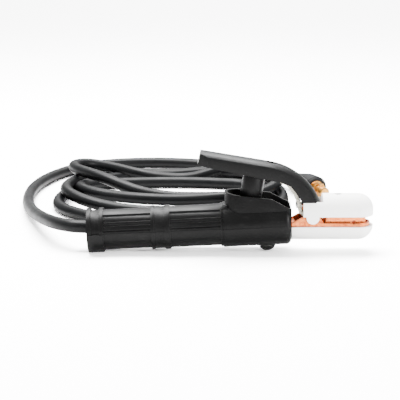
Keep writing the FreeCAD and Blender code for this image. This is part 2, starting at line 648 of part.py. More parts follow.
def lower_screw_body(gap):
    """Countersunk screw from under the trough into the lower jaw."""
    low = LOWER_INSULATOR_Z - INSULATOR_HALF_WIDTH
    head = Part.makeCone(2.9 + gap, 1.5 + gap, 1.8, Vector(INSULATOR_SCREW_X, 0, low + 0.3), Vector(0, 0, 1))
    lead_in = rod((INSULATOR_SCREW_X, 0, low - 2), (0, 0, 1), 2.3, 2.9 + gap)
    shank = rod((INSULATOR_SCREW_X, 0, low + 1), (0, 0, 1), LOWER_FLOOR_Z - low - 2.0, 1.5 + gap)
    screw = head.fuse(shank)
    return screw.fuse(lead_in) if gap else screw


def lower_insulator_screw():
    low = LOWER_INSULATOR_Z - INSULATOR_HALF_WIDTH
    slot = block(INSULATOR_SCREW_X - 2.4, INSULATOR_SCREW_X + 2.4, -0.4, 0.4, low - 1, low + 1.0)
    return one_solid(lower_screw_body(0.0).cut(slot))


def upper_insulator_block(gap):
    """The hood's outer form: upright sides, a round crown and a round tip."""
    half = INSULATOR_HALF_WIDTH + gap
    centre = INSULATOR_TIP_X - INSULATOR_HALF_WIDTH
    spring_z = UPPER_INSULATOR_Z + UPPER_INSULATOR_SIDE
    back = UPPER_INSULATOR_BACK_X - gap
    crown = rod_x(back, centre, half, 0, spring_z).fuse(Part.makeSphere(half, Vector(centre, 0, spring_z)))
    skirt = tongue(half, back, INSULATOR_TIP_X + gap, UPPER_INSULATOR_Z, spring_z)
    crown = crown.cut(block(-FAR, FAR, -FAR, FAR, -FAR, spring_z))
    return crown.fuse(skirt)


def upper_insulator():
    over = crowned_bar(-SEATED, 0).common(prism(cover_outline(-SEATED, SEATED), -FAR, FAR))
    hood = upper_insulator_block(0).cut(over)
    hollow = tongue(JAW_HALF_WIDTH + SEATED, 50, JAW_TIP_X + SEATED, 0, UPPER_TOP_Z + SEATED)
    rear_room = block(50, 72, -JAW_HALF_WIDTH - SEATED, JAW_HALF_WIDTH + SEATED, 0, FAR)
    hood = hood.cut([hollow, rear_room])
    for side in (1, -1):
        low, high = sorted((side * BOSS_INNER, side * INSULATOR_HALF_WIDTH))
        hood = hood.fuse(rod_y(PIVOT_X, PIVOT_Z, BOSS_R, low, high))
        hood = hood.fuse(block(PIVOT_X - BOSS_R, PIVOT_X + BOSS_R, low, high, PIVOT_Z, UPPER_INSULATOR_Z + 1))
    return one_solid(hood.cut(upper_screw_body(SEATED)))


def upper_screw_body(gap):
    """Pan-head screw sunk in the hood's crown, down into the upper jaw."""
    crown = UPPER_INSULATOR_Z + UPPER_INSULATOR_SIDE + INSULATOR_HALF_WIDTH
    head = rod((INSULATOR_SCREW_X, 0, crown - 5.0), (0, 0, 1), 2.2, 2.9 + gap)
    shank = rod((INSULATOR_SCREW_X, 0, UPPER_FLOOR_Z + 0.4), (0, 0, 1), crown - 4.0 - UPPER_FLOOR_Z, 1.6 + gap)
    mouth = rod((INSULATOR_SCREW_X, 0, crown - 5.0), (0, 0, 1), 8.0, 2.9 + gap)
    return head.fuse([shank, mouth]) if gap else head.fuse(shank)


def upper_insulator_screw():
    crown = UPPER_INSULATOR_Z + UPPER_INSULATOR_SIDE + INSULATOR_HALF_WIDTH
    slot = block(INSULATOR_SCREW_X - 3, INSULATOR_SCREW_X + 3, -0.4, 0.4, crown - 3.8, crown)
    return one_solid(upper_screw_body(0.0).cut(slot))


# ---- cable inside the grip ----------------------------------------------------------------------------------
socket_bore_r = STRAND_R + FERRULE_WALL + RUNNING


def cable_socket():
    body = rod_x(SOCKET_START, -2.2, SOCKET_R)
    body = body.cut(rod_x(SOCKET_START - 1, SOCKET_START + SOCKET_BORE_DEPTH, socket_bore_r, 0, CABLE_RISE))
    body = tilted(body).cut(block(TANG_END_X, FAR, -TANG_HALF_WIDTH, TANG_HALF_WIDTH, TANG_LOW_Z, TANG_HIGH_Z))
    body = body.cut([set_screw_bodies(), tilted(handle_screw_body(0.0))])
    return one_solid(body)


def set_screw_bodies():
    """Two grub screws from above, down on to the ferrule."""
    foot = CABLE_RISE + STRAND_R + FERRULE_WALL + 0.02
    return Part.makeCompound([tilted(rod((x, 0, foot), (0, 0, 1), SOCKET_R - foot + 1.0, SET_SCREW_R))
                              for x in (SOCKET_START + 8, SOCKET_START + 20)])


def cable_set_screws():
    sockets = []
    for x in (SOCKET_START + 8, SOCKET_START + 20):
        points = [Vector(x + 1.5 * math.cos(math.radians(60 * i)), 1.5 * math.sin(math.radians(60 * i)), SOCKET_R - 1.4)
                  for i in range(6)]
        sockets.append(tilted(Part.Face(Part.makePolygon(points + points[:1])).extrude(Vector(0, 0, 4))))
    return set_screw_bodies().cut(sockets)


def cable_ferrule():
    x1 = SOCKET_START + SOCKET_BORE_DEPTH - 1
    outer = rod_x(SOCKET_START + 1, x1, STRAND_R + FERRULE_WALL, 0, CABLE_RISE)
    return tilted(outer.cut(rod_x(SOCKET_START, x1 + 1, STRAND_R, 0, CABLE_RISE)))


def cable_strands():
    return tilted(rod_x(SOCKET_START - 2, SOCKET_START + SOCKET_BORE_DEPTH - 1, STRAND_R, 0, CABLE_RISE))


def cable_in_grip():
    return tilted(rod_x(-GRIP_LENGTH, SOCKET_START - 2, CABLE_R, 0, CABLE_RISE))


# ---- free cable ---------------------------------------------------------------------------------------------
CABLE_LIE = CABLE_R + 0.1
PLUG_TURN = 25.0
PLUG_AXIS = Vector(math.sin(math.radians(PLUG_TURN)), -math.cos(math.radians(PLUG_TURN)), 0)
BOOT_R = 11.5
BOOT_LENGTH = 45.0
BOOT_REAR = Vector(62.8, 203.9, BOOT_R + 0.2)
TAIL_IN_BOOT = 18.0

exit_point = axis_point(-GRIP_LENGTH, CABLE_RISE)

# route of the lead from the grip's end, down to the surface and round the outside of the coil
LEAD_ROUTE = [
    tuple(exit_point), (-121.0, 0.1, 19.3), (-133.0, 2.7, 19.4), (-144.4, 9.8, 18.9), (-154.4, 22.8, 17.2),
    (-160.5, 46.0, 14.2), (-168.0, 78.0, 10.8), (-174.5, 113.0, 7.4), (-178.5, 150.0, 5.7),
    (-179.8, 188.0, CABLE_LIE), (-175.0, 222.0, CABLE_LIE), (-164.5, 254.0, CABLE_LIE),
    (-147.0, 283.0, CABLE_LIE), (-120.0, 302.0, CABLE_LIE), (-88.0, 310.5, CABLE_LIE), (-62.0, 311.5, CABLE_LIE),
]
# route of the tail, off the top of the coil and into the plug
TAIL_ROUTE = [
    (8.5, 241.5, 17.8), (26.5, 240.4, 18.2), (42.3, 234.0, 16.6), (54.3, 222.0, 13.9), tuple(BOOT_REAR),
    tuple(BOOT_REAR + PLUG_AXIS * TAIL_IN_BOOT),
]
# the loose coil: the outline of its turns, the open eye between them, and its height
COIL_CENTRE = (-51.5, 190.0)
COIL_HALF = (105.5, 126.0)
COIL_EYE_CENTRE = (-38.0, 183.5)
COIL_EYE_HALF = (66.0, 20.0)
COIL_HEIGHT = 21.0


def tube(name, route, radius):
    """Straight runs joined by tangent arcs, each as large as its two runs allow, given a round section."""
    points = [Vector(*point) for point in route]
    edges, at, radii = [], points[0], []
    for before, corner, after in zip(points, points[1:], points[2:]):
        into, out = corner - before, after - corner
        turn = into.getAngle(out)
        shorter = min(into.Length, out.Length)
        if turn < 1e-3:
            continue
        cut = 0.45 * shorter
        into.normalize()
        out.normalize()
        start, end = corner - into * cut, corner + out * cut
        bend_r = cut / math.tan(turn / 2)
        radii.append(round(bend_r, 1))
        bisector = (out - into).normalize()
        middle = corner + bisector * (bend_r / math.cos(turn / 2) - bend_r)
        edges += [Part.LineSegment(at, start).toShape(), Part.Arc(start, middle, end).toShape()]
        at = end
    edges.append(Part.LineSegment(at, points[-1]).toShape())
    path = Part.Wire(edges)
    first = (points[1] - points[0]).normalize()
    section = Part.Wire(Part.Circle(points[0], first, radius).toShape())
    solid = path.makePipeShell([section], True, True)
    expected = math.pi * radius ** 2 * path.Length
    print(f"{name}: length {path.Length:.1f} mm, radii {radii}, volume over expected {solid.Volume / expected:.4f}")
    return solid


def ellipse_block(centre, half, height):
    face = Part.Face(Part.Wire(Part.Ellipse(Vector(centre[0], centre[1], 0), max(half), min(half)).toShape()))
    if half[1] > half[0]:
        face.rotate(Vector(centre[0], centre[1], 0), Vector(0, 0, 1), 90)
    return face.extrude(Vector(0, 0, height))


lead_tube = tube("cable_lead", LEAD_ROUTE, CABLE_R)
tail_tube = tube("cable_tail", TAIL_ROUTE, CABLE_R)


def cable_lead():
    return lead_tube.copy()


def cable_coil():
    """The ring of turns; the lead's end and the tail's start are sunk in it, each in its own bed."""
    ring = ellipse_block(COIL_CENTRE, COIL_HALF, COIL_HEIGHT)
    ring = ring.cut(ellipse_block(COIL_EYE_CENTRE, COIL_EYE_HALF, COIL_HEIGHT))
    return one_solid(ring.cut([lead_tube, tail_tube]))


def cable_tail():
    return tail_tube.copy()


# ---- plug ---------------------------------------------------------------------------------------------------
PLUG_BODY_R = 7.6
PLUG_BODY_START = 19.0
PLUG_COLLAR_R = 6.4
PLUG_COLLAR_LENGTH = 5.0
PLUG_PIN_R = 4.5
PLUG_ROOT_R = 5.0
PLUG_PIN_LENGTH = 16.0
PLUG_LUG_REACH = 2.0
PLUG_LUG_LENGTH = 4.5
PLUG_FERRULE_LENGTH = 14.0


def on_plug(shape):
    """From the plug's own axis (x = 0 at the boot's rear, +x to the pin's end) to the row frame."""
    placed = shape.copy()
    placed.Placement = Placement(BOOT_REAR, Rotation(Vector(1, 0, 0), PLUG_AXIS)).multiply(placed.Placement)
    return placed


def plug_boot():
    steps = [(0.0, 7.4), (4.0, 7.4), (14.0, 8.6), (26.0, 10.8), (30.0, BOOT_R), (BOOT_LENGTH - 2.0, BOOT_R),
             (BOOT_LENGTH, BOOT_R - 1.5)]
    outline = [Vector(x, 0, r) for x, r in steps] + [Vector(BOOT_LENGTH, 0, 0), Vector(0, 0, 0)]
    boot = Part.Face(Part.makePolygon(outline + outline[:1])).revolve(Vector(), Vector(1, 0, 0), 360)
    boot = boot.cut([rod_x(-1, BOOT_LENGTH, CABLE_R + SEATED / 2), rod_x(PLUG_BODY_START, BOOT_LENGTH + 1, PLUG_BODY_R)])
    return on_plug(one_solid(boot))


def plug_pin():
    shoulder = BOOT_LENGTH - 1.0
    collar_end = BOOT_LENGTH + PLUG_COLLAR_LENGTH
    end = BOOT_LENGTH + PLUG_PIN_LENGTH
    body = rod_x(PLUG_BODY_START, shoulder, PLUG_BODY_R).fuse(
        [rod_x(shoulder - 1, collar_end, PLUG_COLLAR_R), rod_x(collar_end - 1, end, PLUG_PIN_R),
         rod_x(collar_end - 1, collar_end + PLUG_LUG_LENGTH, PLUG_ROOT_R),
         block(collar_end - 1, collar_end + PLUG_LUG_LENGTH, -2.0, 2.0, 0, PLUG_PIN_R + PLUG_LUG_REACH)])
    tip = [edge for edge in body.Edges if edge.BoundBox.XMin > end - 1e-3]
    body = body.makeChamfer(0.6, tip)
    bore = rod_x(PLUG_BODY_START - 1, PLUG_BODY_START + PLUG_FERRULE_LENGTH + 1.0, socket_bore_r)
    return on_plug(one_solid(body.cut([bore, plug_screw_bodies()])))


def plug_screw_bodies():
    foot = STRAND_R + FERRULE_WALL + 0.02
    return Part.makeCompound([rod((PLUG_BODY_START + along, 0, foot), (0, 0, 1), PLUG_BODY_R - foot - 0.4, 2.0)
                              for along in (4.0, 10.5)])


def plug_set_screws():
    slots = [block(PLUG_BODY_START + along - 0.4, PLUG_BODY_START + along + 0.4, -3, 3, PLUG_BODY_R - 1.2, 20)
             for along in (4.0, 10.5)]
    return on_plug(plug_screw_bodies().cut(slots))


def plug_ferrule():
    outer = rod_x(PLUG_BODY_START + 0.3, PLUG_BODY_START + PLUG_FERRULE_LENGTH, STRAND_R + FERRULE_WALL)
    return on_plug(outer.cut(rod_x(0, BOOT_LENGTH, STRAND_R)))


def plug_strands():
    return on_plug(rod_x(TAIL_IN_BOOT, PLUG_BODY_START + PLUG_FERRULE_LENGTH, STRAND_R))


CORD = {
    "cable_lead": cable_lead,
    "cable_coil": cable_coil,
    "cable_tail": cable_tail,
    "plug_boot": plug_boot,
    "plug_pin": plug_pin,
    "plug_set_screws": plug_set_screws,
    "plug_ferrule": plug_ferrule,
    "plug_strands": plug_strands,
}

HOLDER = {
    "handle_grip": handle_grip,
    "handle_screw": handle_screw,
    "head_shell": head_shell,
    "head_screw": head_screw,
    "spring_seat": spring_seat,
    "spring": spring,
    "spring_cap": spring_cap,
    "cap_rivet": cap_rivet,
    "lever_cover": lever_cover,
    "lever_cover_screw": lever_cover_screw,
    "lever_cover_nut": lever_cover_nut,
    "lever_arm": lever_arm,
    "jaw_rivets": lambda: jaw_rivet_bodies(0.0),
    "lower_jaw": lower_jaw,
    "upper_jaw": upper_jaw,
    "pivot_pin": pivot_pin,
    "lower_insulator": lower_insulator,
    "lower_insulator_screw": lower_insulator_screw,
    "upper_insulator": upper_insulator,
    "upper_insulator_screw": upper_insulator_screw,
    "cable_socket": cable_socket,
    "cable_set_screws": cable_set_screws,
    "cable_ferrule": cable_ferrule,
    "cable_strands": cable_strands,
    "cable_in_grip": cable_in_grip,
}

holder = {node: make() for node, make in HOLDER.items()}
cord = {node: make() for node, make in CORD.items()}

# the row frame stands at the middle of the holder's footprint
holder_box = Part.makeCompound(list(holder.values())).optimalBoundingBox(False, False)
TO_ORIGIN = Vector(-holder_box.Center.x, -holder_box.Center.y, -holder_box.ZMin)
print("to the origin", [round(part, 3) for part in TO_ORIGIN])
print("holder", [round(side, 2) for side in (holder_box.XLength, holder_box.YLength, holder_box.ZLength)])

for node, shape in {**holder, **cord}.items():
    shape.translate(TO_ORIGIN)
    box = shape.BoundBox
    print(f"{node:24s} valid {shape.isValid()} solids {len(shape.Solids)} volume {shape.Volume / 1000:8.3f} cm3 "
          f"x {box.XMin:7.1f} {box.XMax:7.1f} y {box.YMin:6.1f} {box.YMax:6.1f} z {box.ZMin:6.1f} {box.ZMax:6.1f}")
    shape.exportStep(f"parts/{node}.step")

pin_end = BOOT_REAR + PLUG_AXIS * (BOOT_LENGTH + PLUG_PIN_LENGTH) + TO_ORIGIN
print("plug pin's end", [round(part, 2) for part in pin_end], "axis", [round(part, 4) for part in PLUG_AXIS])
print("pivot", [round(part, 2) for part in Vector(PIVOT_X, 0, PIVOT_Z) + TO_ORIGIN])
print("electrode", [round(part, 2) for part in Vector(ELECTRODE_X, 0, BITE_Z) + TO_ORIGIN])
print("cable exit", [round(part, 2) for part in exit_point + TO_ORIGIN])
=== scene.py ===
import math

import bmesh
import bpy
from mathutils import Matrix, Vector


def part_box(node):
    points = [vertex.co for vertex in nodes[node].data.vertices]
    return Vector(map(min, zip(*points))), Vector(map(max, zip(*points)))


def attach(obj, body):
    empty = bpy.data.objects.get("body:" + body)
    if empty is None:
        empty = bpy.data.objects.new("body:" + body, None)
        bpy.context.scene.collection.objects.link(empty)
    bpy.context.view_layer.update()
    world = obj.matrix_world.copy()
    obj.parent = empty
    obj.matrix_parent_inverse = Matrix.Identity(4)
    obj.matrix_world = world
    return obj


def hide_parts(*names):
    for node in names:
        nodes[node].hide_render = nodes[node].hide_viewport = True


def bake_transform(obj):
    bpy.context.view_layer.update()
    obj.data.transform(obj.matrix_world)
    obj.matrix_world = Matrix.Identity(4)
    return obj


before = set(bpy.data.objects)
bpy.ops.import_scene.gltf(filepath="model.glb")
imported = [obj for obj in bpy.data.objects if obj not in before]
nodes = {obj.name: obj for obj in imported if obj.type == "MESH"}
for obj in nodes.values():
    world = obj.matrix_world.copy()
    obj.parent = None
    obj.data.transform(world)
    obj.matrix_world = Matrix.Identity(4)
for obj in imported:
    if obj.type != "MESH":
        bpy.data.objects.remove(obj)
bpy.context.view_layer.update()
MM = 0.001

# The view: a long lens a metre in front of the holder, which stands a little above it and looks down on
# its near side.
LENS_MM = 119.25
SENSOR_MM = 36.0
LOOKS_DOWN = 13.5
camera_data = bpy.data.cameras.new("camera")
camera_data.lens = LENS_MM
camera_data.sensor_width = SENSOR_MM
camera_data.clip_end = 20.0
camera = bpy.data.objects.new("camera", camera_data)
camera.location = (-23.4 * MM, -1009.0 * MM, 283.0 * MM)
camera.rotation_euler = (math.radians(90.0 - LOOKS_DOWN), 0.0, 0.0)
bpy.context.scene.collection.objects.link(camera)
bpy.context.scene.camera = camera

# The cable: smooth black rubber extruded over fine copper strands, limp and 10.5 mm thick. It leaves the
# grip, runs round the outside of the coil, makes three more turns, folds back over them and ends in the
# plug. The turns cut into each other at some of their crossings.
CABLE_R = 5.25
LIE = 5.35
ROW_SHIFT = 0.4
LEAD = [
    (-112.1, 0.0, 19.1), (-121.0, 0.3, 19.3), (-131.0, 6.0, 19.0), (-141.0, 19.0, 17.8), (-151.5, 42.0, 15.0),
    (-163.0, 76.0, 11.0), (-172.5, 112.0, 7.4), (-178.5, 150.0, 5.7), (-179.8, 188.0, LIE),
    (-175.0, 222.0, LIE), (-164.5, 254.0, LIE), (-147.0, 283.0, LIE), (-120.0, 302.0, LIE),
    (-88.0, 310.5, LIE),
]
# each turn's outermost points: which side of the turn it is on, then where it is
TURNS = [
    ("far", -52, 311, LIE), ("right", 53, 160, LIE), ("near", -45, 66, LIE), ("left", -152, 142, LIE),
    ("far", -52, 262, LIE), ("right", 42, 170, LIE), ("near", -60, 102, LIE), ("left", -145.5, 152, 15.7),
    ("far", -104, 266, LIE), ("far", -55, 251, LIE), ("right", 47.5, 176, 17), ("near", 12, 135, 12),
    ("near", -40, 137, 7.6),
    ("left", -134, 174, 11.5), ("far", -104, 215, LIE), ("far", -70, 219, LIE), ("far", -33, 220, LIE),
    ("far", 2, 214, LIE), ("right", 29, 186, LIE), ("near", 2, 159, LIE), ("near", -25, 156.5, LIE),
]
FOLD = [
    (-52.0, 156.5, 5.9), (-78.0, 160.0, 9.5), (-97.0, 168.0, 15.0), (-113.0, 179.0, 19.3),
    (-128.0, 192.0, 20.8), (-141.0, 209.0, 20.8), (-145.0, 229.0, 20.2), (-133.0, 244.0, 19.0),
    (-110.0, 247.0, 14.5), (-86.0, 246.0, 8.5), (-60.0, 239.5, LIE), (-34.0, 235.0, LIE),
]
TAIL = [
    (-12.0, 236.0, 11.5), (8.5, 241.5, 17.8), (26.5, 240.4, 18.2), (42.3, 234.0, 16.6), (54.3, 222.0, 13.9),
    (62.8, 203.9, 11.7),
]


def quarter(before, after):
    """The route's points on a quarter turn, between two outermost points."""
    side, x0, y0, z0 = before
    x1, y1, z1 = after[1:]
    points = []
    for share in (0.25, 0.5, 0.75):
        turn = share * math.pi / 2
        quick, slow = math.sin(turn), 1 - math.cos(turn)
        across, along = (slow, quick) if side in ("left", "right") else (quick, slow)
        fall = 1 - (1 - share) ** 2 if side in ("left", "far") else share * share * (3 - 2 * share)
        points.append((x0 + (x1 - x0) * across, y0 + (y1 - y0) * along, z0 + (z1 - z0) * fall))
    return points


route = list(LEAD)
for index, outermost in enumerate(TURNS):
    if index and TURNS[index - 1][0] != outermost[0]:
        route += quarter(TURNS[index - 1], outermost)
    route.append(outermost[1:])
route += FOLD + TAIL

cable_line = bpy.data.curves.new("cable", "CURVE")
cable_line.dimensions = "3D"
cable_line.bevel_depth = CABLE_R * MM
cable_line.bevel_resolution = 7
cable_line.use_fill_caps = True
spline = cable_line.splines.new("NURBS")
spline.points.add(len(route) - 1)
for point, place in zip(spline.points, route):
    point.co = ((place[0] + ROW_SHIFT) * MM, place[1] * MM, place[2] * MM, 1.0)
spline.order_u = 3
spline.use_endpoint_u = True
spline.resolution_u = 10
cable = bpy.data.objects.new("cable", cable_line)
bpy.context.scene.collection.objects.link(cable)


def noise_in(tree, scale, detail, stretch=(1.0, 1.0, 1.0)):
    """Noise in the object's own coordinates, in features per metre."""
    place = tree.nodes.new("ShaderNodeTexCoord")
    mapping = tree.nodes.new("ShaderNodeMapping")
    mapping.inputs["Scale"].default_value = stretch
    noise = tree.nodes.new("ShaderNodeTexNoise")
    noise.inputs["Detail"].default_value = detail
    noise.inputs["Scale"].default_value = scale
    tree.links.new(place.outputs["Object"], mapping.inputs["Vector"])
    tree.links.new(mapping.outputs["Vector"], noise.inputs["Vector"])
    return noise


def spread(tree, value, low, high, to_low, to_high):
    """A value between low and high, spread to another range."""
    node = tree.nodes.new("ShaderNodeMapRange")
    node.inputs["From Min"].default_value = low
    node.inputs["From Max"].default_value = high
    node.inputs["To Min"].default_value = to_low
    node.inputs["To Max"].default_value = to_high
    tree.links.new(value, node.inputs["Value"])
    return node


def grain_group():
    """The surface that every moulded piece has: fine grain, slow changes of sheen and thin pale scuffs."""
    grain_depth = 0.2 * MM
    sheen_patches = 55.0
    scuff_streaks, streak_stretch = 420.0, (0.25, 1.0, 1.0)
    group = bpy.data.node_groups.new("moulded_grain", "ShaderNodeTree")
    for label, value in (("Grain Size", 2600.0), ("Grain Height", 0.25), ("Scuff", 0.3)):
        socket = group.interface.new_socket(label, in_out="INPUT", socket_type="NodeSocketFloat")
        socket.default_value = value
    for label, kind in (("Normal", "Vector"), ("Sheen", "Float"), ("Scuffs", "Float")):
        group.interface.new_socket(label, in_out="OUTPUT", socket_type="NodeSocket" + kind)
    inside, outside = group.nodes.new("NodeGroupInput"), group.nodes.new("NodeGroupOutput")
    fine = noise_in(group, 2600.0, detail=3.0)
    group.links.new(inside.outputs["Grain Size"], fine.inputs["Scale"])
    bump = group.nodes.new("ShaderNodeBump")
    bump.inputs["Distance"].default_value = grain_depth
    group.links.new(inside.outputs["Grain Height"], bump.inputs["Strength"])
    group.links.new(fine.outputs["Fac"], bump.inputs["Height"])
    broad = noise_in(group, sheen_patches, detail=5.0)
    sheen = spread(group, broad.outputs["Fac"], 0.3, 0.7, 0.0, 1.0)
    streaks = noise_in(group, scuff_streaks, detail=6.0, stretch=streak_stretch)
    narrow = spread(group, streaks.outputs["Fac"], 0.60, 0.74, 0.0, 1.0)
    scaled = group.nodes.new("ShaderNodeMath")
    scaled.operation = "MULTIPLY"
    group.links.new(narrow.outputs["Result"], scaled.inputs[0])
    group.links.new(inside.outputs["Scuff"], scaled.inputs[1])
    group.links.new(bump.outputs["Normal"], outside.inputs["Normal"])
    group.links.new(sheen.outputs["Result"], outside.inputs["Sheen"])
    group.links.new(scaled.outputs["Value"], outside.inputs["Scuffs"])
    return group


MOULDED_GRAIN = grain_group()


def moulded(name, colour, scuffed, roughness, grain, height, scuff, gloss=0.085):
    """A moulded plastic or rubber with grain, uneven sheen and pale scuffs."""
    uneven = 0.06
    material = bpy.data.materials.new(name)
    material.use_nodes = True
    tree = material.node_tree
    shader = tree.nodes["Principled BSDF"]
    effect = tree.nodes.new("ShaderNodeGroup")
    effect.node_tree = MOULDED_GRAIN
    effect.inputs["Grain Size"].default_value = grain
    effect.inputs["Grain Height"].default_value = height
    effect.inputs["Scuff"].default_value = scuff
    mix = tree.nodes.new("ShaderNodeMix")
    mix.data_type = "RGBA"
    mix.inputs["A"].default_value = (*colour, 1.0)
    mix.inputs["B"].default_value = (*scuffed, 1.0)
    tree.links.new(effect.outputs["Scuffs"], mix.inputs["Factor"])
    tree.links.new(mix.outputs["Result"], shader.inputs["Base Color"])
    rough = spread(tree, effect.outputs["Sheen"], 0.0, 1.0, roughness - uneven, roughness + uneven)
    tree.links.new(rough.outputs["Result"], shader.inputs["Roughness"])
    tree.links.new(effect.outputs["Normal"], shader.inputs["Normal"])
    shader.inputs["Specular IOR Level"].default_value = gloss
    return material


def paint(piece, material):
    """The piece's surface takes this material, whether or not it has one."""
    if not piece.material_slots:
        piece.data.materials.append(material)
    for slot in piece.material_slots:
        slot.material = material


cable_rubber = moulded("cable_rubber", colour=(0.0014, 0.0015, 0.0017), scuffed=(0.004, 0.004, 0.004),
                       roughness=0.42, grain=1500.0, height=0.12, scuff=0.25)
paint(cable, cable_rubber)
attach(cable, "root")
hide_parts("cable_lead", "cable_coil", "cable_tail")
paint(nodes["cable_in_grip"], cable_rubber)


# The plug: a soft rubber boot, moulded and pushed over a turned brass body whose pin has a locking lug. Two
# set screws hold the cable's bare strands in it, in a copper ferrule.
def bare_metal(name, light, dark, roughness, speck=900.0, height=0.15):
    """A bare metal whose colour and gloss change over the surface."""
    speck_depth = 0.1 * MM
    duller, glossier = 0.1, 0.05
    material = bpy.data.materials.new(name)
    material.use_nodes = True
    tree = material.node_tree
    shader = tree.nodes["Principled BSDF"]
    shader.inputs["Metallic"].default_value = 1.0
    specks = noise_in(tree, speck, detail=6.0)
    mask = spread(tree, specks.outputs["Fac"], 0.35, 0.68, 0.0, 1.0)
    mix = tree.nodes.new("ShaderNodeMix")
    mix.data_type = "RGBA"
    mix.inputs["A"].default_value = (*light, 1.0)
    mix.inputs["B"].default_value = (*dark, 1.0)
    tree.links.new(mask.outputs["Result"], mix.inputs["Factor"])
    tree.links.new(mix.outputs["Result"], shader.inputs["Base Color"])
    rough = spread(tree, specks.outputs["Fac"], 0.3, 0.7, roughness - glossier, roughness + duller)
    tree.links.new(rough.outputs["Result"], shader.inputs["Roughness"])
    bump = tree.nodes.new("ShaderNodeBump")
    bump.inputs["Distance"].default_value = speck_depth
    bump.inputs["Strength"].default_value = height
    tree.links.new(specks.outputs["Fac"], bump.inputs["Height"])
    tree.links.new(bump.outputs["Normal"], shader.inputs["Normal"])
    return material


paint(nodes["plug_boot"], moulded("boot_rubber", colour=(0.003, 0.003, 0.0033), scuffed=(0.009, 0.009, 0.009),
                                  roughness=0.5, grain=1500.0, height=0.2, scuff=0.3))
paint(nodes["plug_pin"], bare_metal("plug_brass", light=(0.52, 0.26, 0.055), dark=(0.30, 0.13, 0.025),
                                    roughness=0.3, speck=700.0))
steel = bare_metal("fastener_steel", light=(0.50, 0.50, 0.48), dark=(0.34, 0.34, 0.33), roughness=0.34)
copper_strands = bare_metal("strand_copper", light=(0.80, 0.38, 0.22), dark=(0.62, 0.28, 0.16),
                            roughness=0.35, speck=1500.0)
paint(nodes["plug_set_screws"], steel)
for node in ("plug_ferrule", "plug_strands"):
    paint(nodes[node], copper_strands)

# The joint inside the grip: a turned brass socket on the lower jaw's tang, where two steel set screws press
# on the cable's strands in their copper ferrule.
paint(nodes["cable_socket"], bare_metal("socket_brass", light=(0.74, 0.52, 0.26), dark=(0.6, 0.4, 0.2),
                                        roughness=0.3))
paint(nodes["cable_set_screws"], steel)
for node in ("cable_ferrule", "cable_strands"):
    paint(nodes[node], copper_strands)


# The grip: a ribbed tube of black glass-filled nylon, moulded with a satin grain. Its edges have worn paler
# in use, and a low line runs along it where the two halves of the mould met.
def piece_of(name, mesh_builder, smooth=40.0):
    """A new object from a bmesh, shaded smooth up to that angle."""
    mesh = bpy.data.meshes.new(name)
    mesh_builder.to_mesh(mesh)
    mesh_builder.free()
    piece = bpy.data.objects.new(name, mesh)
    bpy.context.scene.collection.objects.link(piece)
    mesh.shade_smooth()
    mesh.set_sharp_from_angle(angle=math.radians(smooth))
    return piece


def parting_line(work, outer):
    """A low ridge on the outside where the two halves of the mould met, along the grip's tilted axis."""
    half_width, height = 0.45 * MM, 0.4 * MM
    tilt = math.radians(2.647)
    upright = Vector((-math.sin(tilt), 0.0, math.cos(tilt)))
    joint = Vector((-5.1 * MM, 0.0, 21.2 * MM))
    for offset in (-half_width, half_width, 0.0):
        cut = bmesh.ops.bisect_plane(work, geom=work.verts[:] + work.edges[:] + work.faces[:],
                                     plane_co=joint + upright * offset, plane_no=upright, dist=1e-6)
    for vert in cut["geom_cut"]:
        if isinstance(vert, bmesh.types.BMVert) and abs(vert.co.y) > outer:
            vert.co.y += math.copysign(height, vert.co.y)


def eased(node, width, body, steps=2, sharp=32.0, mould_joint=0.0, worn=False):
    """A moulded or pressed piece whose edges are eased, in place of its plain CAD solid."""
    merged_within, flat_within = 2e-6, 0.6
    work = bmesh.new()
    work.from_mesh(nodes[node].data)
    bmesh.ops.remove_doubles(work, verts=work.verts, dist=merged_within)
    bmesh.ops.dissolve_limit(work, angle_limit=math.radians(flat_within), verts=work.verts, edges=work.edges)
    edges = [edge for edge in work.edges
             if len(edge.link_faces) == 2 and edge.calc_face_angle() > math.radians(sharp)]
    rounded = bmesh.ops.bevel(work, geom=edges, offset=width, segments=steps, profile=0.5, affect="EDGES",
                              clamp_overlap=True, material=-1)
    if worn:
        for face in rounded["faces"]:
            face.material_index = 1
    if mould_joint:
        parting_line(work, mould_joint)
    bmesh.ops.triangulate(work, faces=[face for face in work.faces if len(face.verts) > 4])
    piece = piece_of(node + "_eased", work, sharp + 4.0)
    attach(piece, body)
    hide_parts(node)
    return piece


black_nylon = moulded("black_nylon", colour=(0.0014, 0.0014, 0.0014), scuffed=(0.008, 0.008, 0.0077),
                      roughness=0.4, grain=2200.0, height=0.3, scuff=0.35)
worn_nylon = moulded("worn_nylon", colour=(0.012, 0.012, 0.0117), scuffed=(0.03, 0.03, 0.029),
                     roughness=0.36, grain=2200.0, height=0.3, scuff=0.6, gloss=0.2)


def nylon_piece(node, width, body, slot, **how):
    """A black nylon moulding with eased, worn edges."""
    piece = eased(node, width, body, worn=True, **how)
    paint(piece, black_nylon)
    piece.data.materials.append(worn_nylon)


nylon_piece("handle_grip", width=0.35 * MM, body="root", slot="grip_plastic", mould_joint=13.5 * MM)

# The head: a black nylon barrel in front of the grip, moulded with the spring's cup on its top. The spring
# stands on a separate nylon seat in the cup's floor.
nylon_piece("head_shell", width=0.5 * MM, body="root", slot="head_plastic", mould_joint=14.5 * MM)
paint(nodes["spring_seat"], black_nylon)

# The jaws: copper alloy channels, cast and sand-blasted, with grooves across the faces that grip. The lower
# one is fixed in the head, and the upper one is riveted to the lever's arm.
jaw_copper = bare_metal("jaw_copper", light=(0.66, 0.19, 0.055), dark=(0.40, 0.08, 0.022), roughness=0.30,
                        speck=500.0, height=0.25)
for node, body in (("lower_jaw", "root"), ("upper_jaw", "lever")):
    jaw = eased(node, width=0.25 * MM, body=body)
    paint(jaw, jaw_copper)

